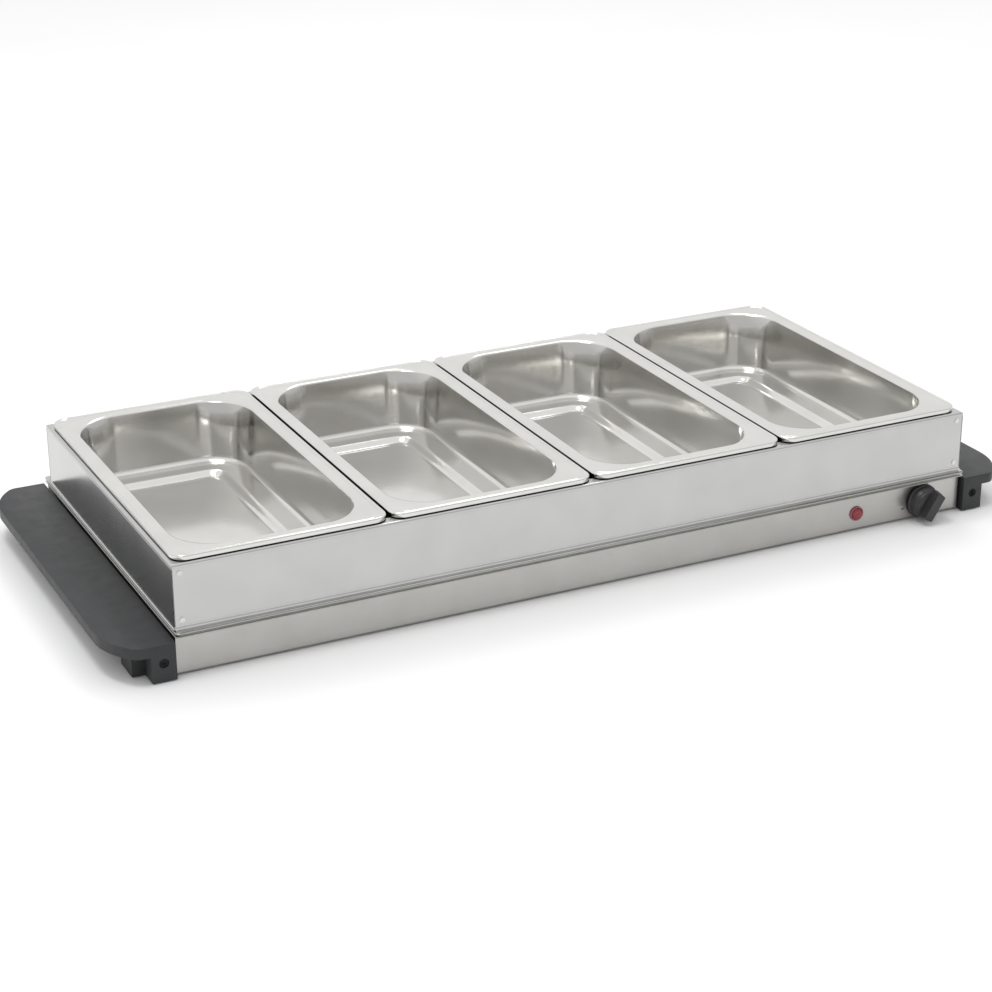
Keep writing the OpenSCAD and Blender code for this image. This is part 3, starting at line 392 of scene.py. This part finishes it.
def pan_profile(rim_drop, depth):
    """[inset from the rim's edge, height under the rim's top], from the rim's lower edge to the floor."""
    ledge_z = -(depth - PAN_LEDGE_DROP)
    wall_foot_z = ledge_z + PAN_FILLET
    ledge = PAN_FLANGE + PAN_DRAFT + PAN_FILLET
    step = ledge + PAN_LEDGE
    floor = step + PAN_STEP
    points = rim_profile(rim_drop)
    points += arc((PAN_FLANGE - LIP_ROLL, -FLANGE_DROP - LIP_ROLL), LIP_ROLL, 90, LIP_END_ANGLE)
    points += [(PAN_FLANGE + PAN_DRAFT / 2, wall_foot_z / 2)]
    points += arc((ledge, wall_foot_z), PAN_FILLET, 180, 270)
    points += [(ledge + LEDGE_RUN_IN, ledge_z), (step - LEDGE_RUN_OUT, ledge_z)]
    for k in range(STEP_POINTS + 1):
        share = k / STEP_POINTS
        soft = share * share * (3 - 2 * share)
        points.append((step + PAN_STEP * share, ledge_z - PAN_LEDGE_DROP * soft))
    points += [(floor + FLOOR_GROOVE, -depth - FLOOR_GROOVE_DROP)]
    points += [(floor + 2 * FLOOR_GROOVE, -depth), (floor + FLOOR_START, -depth)]
    return points


def pan_corner(inset):
    """The plan corner's radius at an inset: tight at the rim, wide at the opening."""
    if inset < PAN_FLANGE:
        return PAN_RIM_CORNER + (PAN_OPENING_CORNER - PAN_RIM_CORNER) * (inset / PAN_FLANGE) ** 2
    return max(PAN_OPENING_CORNER - (inset - PAN_FLANGE), PAN_LEAST_CORNER)


def make_pan(number):
    node = f"pan_{number}"
    low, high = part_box(node)
    depth = high.z - low.z - PAN_SHEET
    rings = []
    for inset, height in pan_profile(RIM_DROP, depth):
        rings.append(Ring((low.x + inset, low.y + inset), (high.x - inset, high.y - inset),
                          pan_corner(inset), high.z + height))
    bm = bmesh.new()
    draw_rings(bm, rings)
    face_up(bm)
    pan = new_piece(bm, f"food_pan_{number}", f"pan_body_{number}", "pan_steel", (node,))
    add_thickness(pan, PAN_SHEET)


# ---------- tray frame ----------

FRAME_SHEET = 0.8 * MM
FRAME_HEIGHT = 53.7 * MM
LONG_FOOT = 5.3 * MM
LONG_COVE = 2.5 * MM
END_FOOT = 1 * MM
END_COVE = 1 * MM
FOOT_EDGE = 0.3 * MM
HEM_WIDTH = 10.5 * MM
HEM_ROLL = 1.8 * MM
BEND_LINE = 2.6 * MM
BEND_DEPTH = 0.25 * MM
BEND_BELOW = 0.5 * MM
BEND_ABOVE = 0.35 * MM
BEND_RUN_IN = 1.2 * MM
FLAT_RUN = 1 * MM


def frame_profile(height, foot, cove):
    """[inwards, up] along the outer skin, from the foot's edge to the hem's inner edge."""
    bend = height - BEND_LINE
    points = [(-foot, FRAME_SHEET), (-foot + FOOT_EDGE, FRAME_SHEET)]
    points += arc((-cove, FRAME_SHEET + cove), cove, 270, 360)
    points += [(0, FRAME_SHEET + cove + FLAT_RUN), (0, bend - BEND_RUN_IN)]
    points += [(0, bend - BEND_BELOW), (BEND_DEPTH, bend), (0, bend + BEND_ABOVE)]
    points += arc((HEM_ROLL, height - HEM_ROLL), HEM_ROLL, 180, 90)
    points += [(HEM_ROLL + FLAT_RUN, height), (HEM_WIDTH, height)]
    return points


def folded_panel(profile, length):
    """A sheet folded along X and mitred at both ends."""
    bm = bmesh.new()
    verts = [bm.verts.new((-length / 2, across, up)) for across, up in profile]
    edges = [bm.edges.new(pair) for pair in zip(verts, verts[1:])]
    grown = bmesh.ops.extrude_edge_only(bm, edges=edges)["geom"]
    far = [g for g in grown if isinstance(g, bmesh.types.BMVert)]
    bmesh.ops.translate(bm, verts=far, vec=(length, 0, 0))
    for end in (-1, 1):
        bmesh.ops.bisect_plane(bm, geom=list(bm.verts) + list(bm.edges) + list(bm.faces), dist=WELD,
                               plane_co=(end * length / 2, 0, 0), plane_no=(end, 1, 0), clear_outer=True)
    bmesh.ops.recalc_face_normals(bm, faces=bm.faces)
    face_up_or_out(bm)
    return bm


def face_up_or_out(bm):
    """Turns a folded panel so that its wall points towards -Y."""
    bm.faces.ensure_lookup_table()
    wall = max(bm.faces, key=lambda face: face.calc_area() * abs(face.normal.y))
    if wall.normal.y > 0:
        bmesh.ops.reverse_faces(bm, faces=bm.faces)


def make_frame():
    front_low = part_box("frame_front_panel")[0]
    back_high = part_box("frame_back_panel")[1]
    hem_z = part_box("frame_left_panel")[0].z + FRAME_HEIGHT
    end_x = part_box("frame_right_panel")[1].x - END_FOOT
    front_y = front_low.y + LONG_FOOT
    back_y = back_high.y - LONG_FOOT
    middle_y = (front_y + back_y) / 2
    width = 2 * end_x
    depth = back_y - front_y
    walls = [
        ("front", 0, width, depth, LONG_FOOT, LONG_COVE),
        ("right", 90, depth, width, END_FOOT, END_COVE),
        ("back", 180, width, depth, LONG_FOOT, LONG_COVE),
        ("left", 270, depth, width, END_FOOT, END_COVE),
    ]
    for side, turn, length, span, foot, cove in walls:
        bm = folded_panel(frame_profile(hem_z - front_low.z, foot, cove), length)
        turned = Matrix.Rotation(math.radians(turn), 3, "Z")
        bmesh.ops.translate(bm, verts=bm.verts, vec=(0, -span / 2, 0))
        bmesh.ops.rotate(bm, verts=bm.verts, cent=(0, 0, 0), matrix=turned)
        bmesh.ops.translate(bm, verts=bm.verts, vec=(0, middle_y, front_low.z))
        panel = new_piece(bm, f"frame_{side}_skin", "tray_frame", "frame_steel", (f"frame_{side}_panel",))
        add_thickness(panel, FRAME_SHEET)


# ---------- base ----------

WARMING_SHEET = 0.8 * MM
WARMING_CORNER = 3.2 * MM
RIM_EDGE = 0.48 * MM
RIM_EDGE_RUN = 0.3 * MM
RIM_GUTTER = 3.0 * MM
GUTTER_EASE = 1 * MM
RIM_UNDER = 4 * MM
RIM_UNDER_DROP = 3.9 * MM
WELL_DEPTH = 3.7 * MM
WELL_EDGE = 1.2 * MM
WELL_CORNER = 14 * MM
WELL_INSET = 13 * MM
WELL_FOOT = 0.05 * MM


def make_warming_rim():
    """The raised rim round the warming plate, with a gutter pressed in its outer edge."""
    low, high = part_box("rim_surround")
    end_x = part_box("frame_right_panel")[1].x - END_FOOT
    front_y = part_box("frame_front_panel")[0].y + LONG_FOOT
    back_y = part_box("frame_back_panel")[1].y - LONG_FOOT
    well_low = (-end_x + WELL_INSET, front_y + WELL_INSET)
    well_high = (end_x - WELL_INSET, back_y - WELL_INSET)
    drop = -RIM_UNDER_DROP
    outer = [(RIM_UNDER, drop), (RIM_EDGE + RIM_EDGE_RUN, drop)]
    outer += arc((RIM_EDGE, drop + RIM_EDGE), RIM_EDGE, 270, 100)
    outer += [(RIM_GUTTER, drop + GUTTER_EASE), (RIM_GUTTER, -GUTTER_EASE)]
    outer += arc((RIM_EDGE, -RIM_EDGE), RIM_EDGE, 260, 90)
    outer += [(RIM_EDGE + 2 * RIM_EDGE_RUN, 0)]
    rings = []
    for inset, height in outer:
        rings.append(Ring((low.x + inset, low.y + inset), (high.x - inset, high.y - inset),
                          WARMING_CORNER, high.z + height))
    inner = [(-WELL_EDGE - FLAT_RUN, 0)]
    inner += arc((-WELL_EDGE, -WELL_EDGE), WELL_EDGE, 90, 0)
    inner += [(0, -WELL_DEPTH + WELL_FOOT)]
    for inset, height in inner:
        rings.append(Ring((well_low[0] + inset, well_low[1] + inset),
                          (well_high[0] - inset, well_high[1] - inset),
                          WELL_CORNER - inset, high.z + height))
    bm = bmesh.new()
    draw_rings(bm, rings, fill=False)
    face_up(bm)
    rim = new_piece(bm, "warming_rim", "base", "base_steel", ("rim_surround",))
    add_thickness(rim, WARMING_SHEET)


HANDLE_EDGE = 0.8 * MM


def refined_copy(node, name, body, edge):
    """A welded copy of a CAD node with soft edges."""
    bm = bmesh.new()
    bm.from_mesh(NODES[node].data)
    bmesh.ops.remove_doubles(bm, verts=bm.verts, dist=WELD)
    bmesh.ops.dissolve_limit(bm, angle_limit=math.radians(1), verts=bm.verts, edges=bm.edges)
    copy = new_piece(bm, name, body, node_slot[node], (node,))
    soften_edges(copy, edge)


def spun(bm, profile, axis_point, steps=64):
    """A closed solid turned about +Y through a point: the profile is [radius, along Y]."""
    verts = [bm.verts.new(axis_point + Vector((radius, along, 0))) for radius, along in profile]
    edges = [bm.edges.new(pair) for pair in zip(verts, verts[1:])]
    bmesh.ops.spin(bm, geom=verts + edges, cent=axis_point, axis=(0, 1, 0), angle=math.tau,
                   steps=steps, use_merge=True)
    bmesh.ops.remove_doubles(bm, verts=bm.verts, dist=FINE_WELD)
    bmesh.ops.recalc_face_normals(bm, faces=bm.faces)


POINTER_ANGLE = math.radians(213)
KNOB_EDGE = 0.5 * MM
KNOB_SKIRT = 2.6 * MM
KNOB_HUB = 7.5 * MM
KNOB_STEP = 1.8 * MM
# From the skirt to the face: the level, the inset from the knob's edge and the height behind the level, in mm
KNOB_OUTLINE = (
    ("skirt", 0, 0.6), ("skirt", 0.35, 0.1), ("skirt", 1.1, 0), ("skirt", 1.2, -0.2),
    ("hub", 1.5, 0.5), ("hub", 2.0, 0), ("hub", 2.9, -0.1), ("hub", 3.0, -0.3),
    ("step", 3.3, 0.4), ("step", 3.8, 0),
)
GRIP_INSET = 1 * MM
GRIP_WIDTH = 9.5 * MM
GRIP_SEGMENTS = 96
GRIP_TAPER = (0.94, 0.9, 1)
GRIP_EDGE = 0.7 * MM


def make_knob():
    low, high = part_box("control_knob")
    axis = Vector(((low.x + high.x) / 2, 0, (low.z + high.z) / 2))
    radius = (high.x - low.x) / 2
    back = high.y
    levels = {"skirt": back - KNOB_SKIRT}
    levels["hub"] = levels["skirt"] - KNOB_HUB
    levels["step"] = levels["hub"] - KNOB_STEP
    profile = [(0, back), (radius - KNOB_EDGE, back), (radius, back - KNOB_EDGE)]
    profile += [(radius - inset * MM, levels[level] + behind * MM) for level, inset, behind in KNOB_OUTLINE]
    profile += [(0, levels["step"])]
    bm = bmesh.new()
    spun(bm, profile, axis)
    new_piece(bm, "knob_body", "knob", "knob_plastic", ("control_knob",))
    make_grip(axis, radius - GRIP_INSET, low.y, levels["step"])


def make_grip(axis, reach, front, back):
    """The grip bar across the knob, with its ends on the knob's round and a slight taper."""
    bm = bmesh.new()
    bmesh.ops.create_circle(bm, cap_ends=True, segments=GRIP_SEGMENTS, radius=reach)
    for side in (-1, 1):
        flat_x = side * GRIP_WIDTH / 2
        bmesh.ops.bisect_plane(bm, geom=list(bm.verts) + list(bm.edges) + list(bm.faces), dist=FINE_WELD,
                               plane_co=(flat_x, 0, 0), plane_no=(side, 0, 0), clear_outer=True)
    grown = bmesh.ops.extrude_face_region(bm, geom=list(bm.faces))["geom"]
    top = [g for g in grown if isinstance(g, bmesh.types.BMVert)]
    bmesh.ops.translate(bm, verts=top, vec=(0, 0, back - front))
    bmesh.ops.scale(bm, verts=top, vec=GRIP_TAPER)
    bmesh.ops.rotate(bm, verts=bm.verts, cent=(0, 0, 0), matrix=Matrix.Rotation(-POINTER_ANGLE, 3, "Z"))
    bmesh.ops.rotate(bm, verts=bm.verts, cent=(0, 0, 0), matrix=Matrix.Rotation(math.radians(90), 3, "X"))
    bmesh.ops.translate(bm, verts=bm.verts, vec=(axis.x, back, axis.z))
    bmesh.ops.recalc_face_normals(bm, faces=bm.faces)
    grip = new_piece(bm, "knob_grip", "knob", "knob_plastic")
    soften_edges(grip, GRIP_EDGE)


BEZEL_WALL = 1.3 * MM
BEZEL_INNER_EASE = (0.2 * MM, 0.3 * MM)
BEZEL_OUTER_EASE = (0.7 * MM, 0.8 * MM)
BEZEL_SHOULDER = (0.2 * MM, 0.25 * MM)
DOME_HEIGHT = 1.6 * MM
DOME_COLLAR = 0.3 * MM
DOME_STEPS = 8


def make_indicator():
    """The lamp's ring and its domed lens."""
    low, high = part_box("indicator_bezel")
    lens_low, lens_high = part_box("indicator_lens")
    axis = Vector(((low.x + high.x) / 2, 0, (low.z + high.z) / 2))
    outer = (high.x - low.x) / 2
    inner = outer - BEZEL_WALL
    ring = [(inner, high.y), (inner, low.y + BEZEL_INNER_EASE[1]), (inner + BEZEL_INNER_EASE[0], low.y)]
    ring += [(outer - BEZEL_OUTER_EASE[0], low.y), (outer - BEZEL_SHOULDER[0], low.y + BEZEL_SHOULDER[1])]
    ring += [(outer, low.y + BEZEL_OUTER_EASE[1]), (outer, high.y), (inner, high.y)]
    bm = bmesh.new()
    spun(bm, ring, axis)
    new_piece(bm, "indicator_ring", "base", "bezel_plastic", ("indicator_bezel",))
    radius = (lens_high.x - lens_low.x) / 2
    edge = lens_low.y + DOME_HEIGHT
    dome = [(0, lens_high.y), (radius, lens_high.y), (radius, edge + DOME_COLLAR)]
    for k in range(DOME_STEPS + 1):
        turn = math.radians(90 * k / DOME_STEPS)
        dome.append((radius * math.cos(turn), edge - DOME_HEIGHT * math.sin(turn)))
    bm = bmesh.new()
    spun(bm, dome, axis)
    new_piece(bm, "indicator_dome", "base", "lens_red", ("indicator_lens",))


TICK_REACH = 4.5 * MM
TICK_SIZE = (3.2 * MM, 0.12 * MM, 1.0 * MM)
TICK_EDGE = 0.03 * MM
TICK_STAND = 0.04 * MM
TICK_ANGLES = {"low": 255, "high": 105}


def make_ticks():
    """Two plain marks where the pointer's travel starts and ends."""
    low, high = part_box("control_knob")
    panel_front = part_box("base_front_panel")[0].y
    axis = Vector(((low.x + high.x) / 2, 0, (low.z + high.z) / 2))
    reach = (high.x - low.x) / 2 + TICK_REACH
    for name, angle in TICK_ANGLES.items():
        bm = bmesh.new()
        bmesh.ops.create_cube(bm, size=1)
        bmesh.ops.scale(bm, verts=bm.verts, vec=TICK_SIZE)
        bmesh.ops.bevel(bm, geom=list(bm.edges), offset=TICK_EDGE, segments=2, profile=0.5, affect="EDGES",
                        material=-1)
        turn = math.radians(angle)
        place = (axis.x + reach * math.sin(turn), panel_front - TICK_STAND, axis.z + reach * math.cos(turn))
        bmesh.ops.translate(bm, verts=bm.verts, vec=place)
        new_piece(bm, f"dial_tick_{name}", "base", "knob_plastic")


# ---------- studio ----------

# The room is dimmest low down in front and brightest overhead, and its backdrop is white to the camera
ROOM_LEAN = (0.0, 0.45, 1.0)
ROOM_LEVELS = ((0.0, 0.5), (0.35, 0.68), (0.75, 0.78), (1.0, 0.82))
ROOM_STRENGTH = 1.28
FLOOR_REACH = 14
FLOOR_GAP = 0.3 * MM
LIGHT_TARGET = (0, 0, 0.05)


def grey_light(level):
    return (level, level, level, 1)


def make_floor():
    mesh = bpy.data.meshes.new("studio_floor")
    bm = bmesh.new()
    bmesh.ops.create_grid(bm, x_segments=1, y_segments=1, size=FLOOR_REACH)
    bm.to_mesh(mesh)
    bm.free()
    floor = bpy.data.objects.new("studio_floor", mesh)
    floor.location.z = -FLOOR_GAP
    bpy.context.scene.collection.objects.link(floor)
    paper = Finish("floor_paper")
    paper.tones(paper.noise((2, 2, 2)), grey_light(0.9), grey_light(0.92))
    paper.set(Roughness=0.9, Specular_IOR_Level=0.0)
    mesh.materials.append(paper.material)


def make_room():
    world = bpy.data.worlds.new("studio")
    bpy.context.scene.world = world
    world.use_nodes = True
    tree = world.node_tree
    room = tree.nodes["Background"]
    direction = tree.nodes.new("ShaderNodeTexCoord").outputs["Generated"]
    lean = tree.nodes.new("ShaderNodeVectorMath")
    lean.operation = "DOT_PRODUCT"
    lean.inputs[1].default_value = ROOM_LEAN
    tree.links.new(direction, lean.inputs[0])
    ramp = tree.nodes.new("ShaderNodeValToRGB")
    stops = ramp.color_ramp.elements
    stops[0].position = ROOM_LEVELS[0][0]
    stops[0].color = grey_light(ROOM_LEVELS[0][1])
    stops[1].position = ROOM_LEVELS[-1][0]
    stops[1].color = grey_light(ROOM_LEVELS[-1][1])
    for position, level in ROOM_LEVELS[1:-1]:
        stops.new(position).color = grey_light(level)
    tree.links.new(lean.outputs["Value"], ramp.inputs["Fac"])
    tree.links.new(ramp.outputs["Color"], room.inputs["Color"])
    room.inputs["Strength"].default_value = ROOM_STRENGTH
    backdrop = tree.nodes.new("ShaderNodeBackground")
    backdrop.inputs["Color"].default_value = grey_light(1.0)
    seen = tree.nodes.new("ShaderNodeLightPath").outputs["Is Camera Ray"]
    mix = tree.nodes.new("ShaderNodeMixShader")
    tree.links.new(seen, mix.inputs["Fac"])
    tree.links.new(room.outputs["Background"], mix.inputs[1])
    tree.links.new(backdrop.outputs["Background"], mix.inputs[2])
    tree.links.new(mix.outputs["Shader"], tree.nodes["World Output"].inputs["Surface"])


def soft_light(name, place, size, power):
    lamp = bpy.data.lights.new(name, "AREA")
    lamp.shape = "RECTANGLE"
    lamp.size = size[0]
    lamp.size_y = size[1]
    lamp.energy = power
    obj = bpy.data.objects.new(name, lamp)
    obj.location = place
    obj.rotation_euler = (Vector(LIGHT_TARGET) - Vector(place)).to_track_quat("-Z", "Y").to_euler()
    bpy.context.scene.collection.objects.link(obj)


CAMERA_TARGET = Vector((-0.0265, -0.0298, 0.0358))
CAMERA_AZIMUTH = -26.07
CAMERA_ELEVATION = 22.65
CAMERA_ROLL = -0.25
CAMERA_DISTANCE = 1.9903
LENS_LENGTH = 84.67
SENSOR_WIDTH = 36


def make_camera():
    azimuth = math.radians(CAMERA_AZIMUTH)
    elevation = math.radians(CAMERA_ELEVATION)
    back = Vector((math.sin(azimuth) * math.cos(elevation), -math.cos(azimuth) * math.cos(elevation),
                   math.sin(elevation)))
    lens = bpy.data.cameras.new("camera")
    lens.lens = LENS_LENGTH
    lens.sensor_width = SENSOR_WIDTH
    camera = bpy.data.objects.new("camera", lens)
    camera.location = CAMERA_TARGET + back * CAMERA_DISTANCE
    roll = Matrix.Rotation(math.radians(CAMERA_ROLL), 3, "Z")
    camera.rotation_euler = ((-back).to_track_quat("-Z", "Y").to_matrix() @ roll).to_euler()
    bpy.context.scene.collection.objects.link(camera)
    bpy.context.scene.camera = camera


finish_cad_nodes()
make_camera()
for number in range(1, PAN_COUNT + 1):
    make_pan(number)
make_frame()
make_warming_rim()
refined_copy("left_handle", "handle_left", "base", HANDLE_EDGE)
refined_copy("right_handle", "handle_right", "base", HANDLE_EDGE)
make_knob()
make_indicator()
make_ticks()
make_floor()
make_room()
soft_light("key_light", place=(-0.7, -0.1, 2.3), size=(0.8, 0.5), power=12)
soft_light("back_light", place=(0.9, 1.3, 2.1), size=(0.8, 0.6), power=8)
bpy.context.scene.view_settings.view_transform = "Standard"
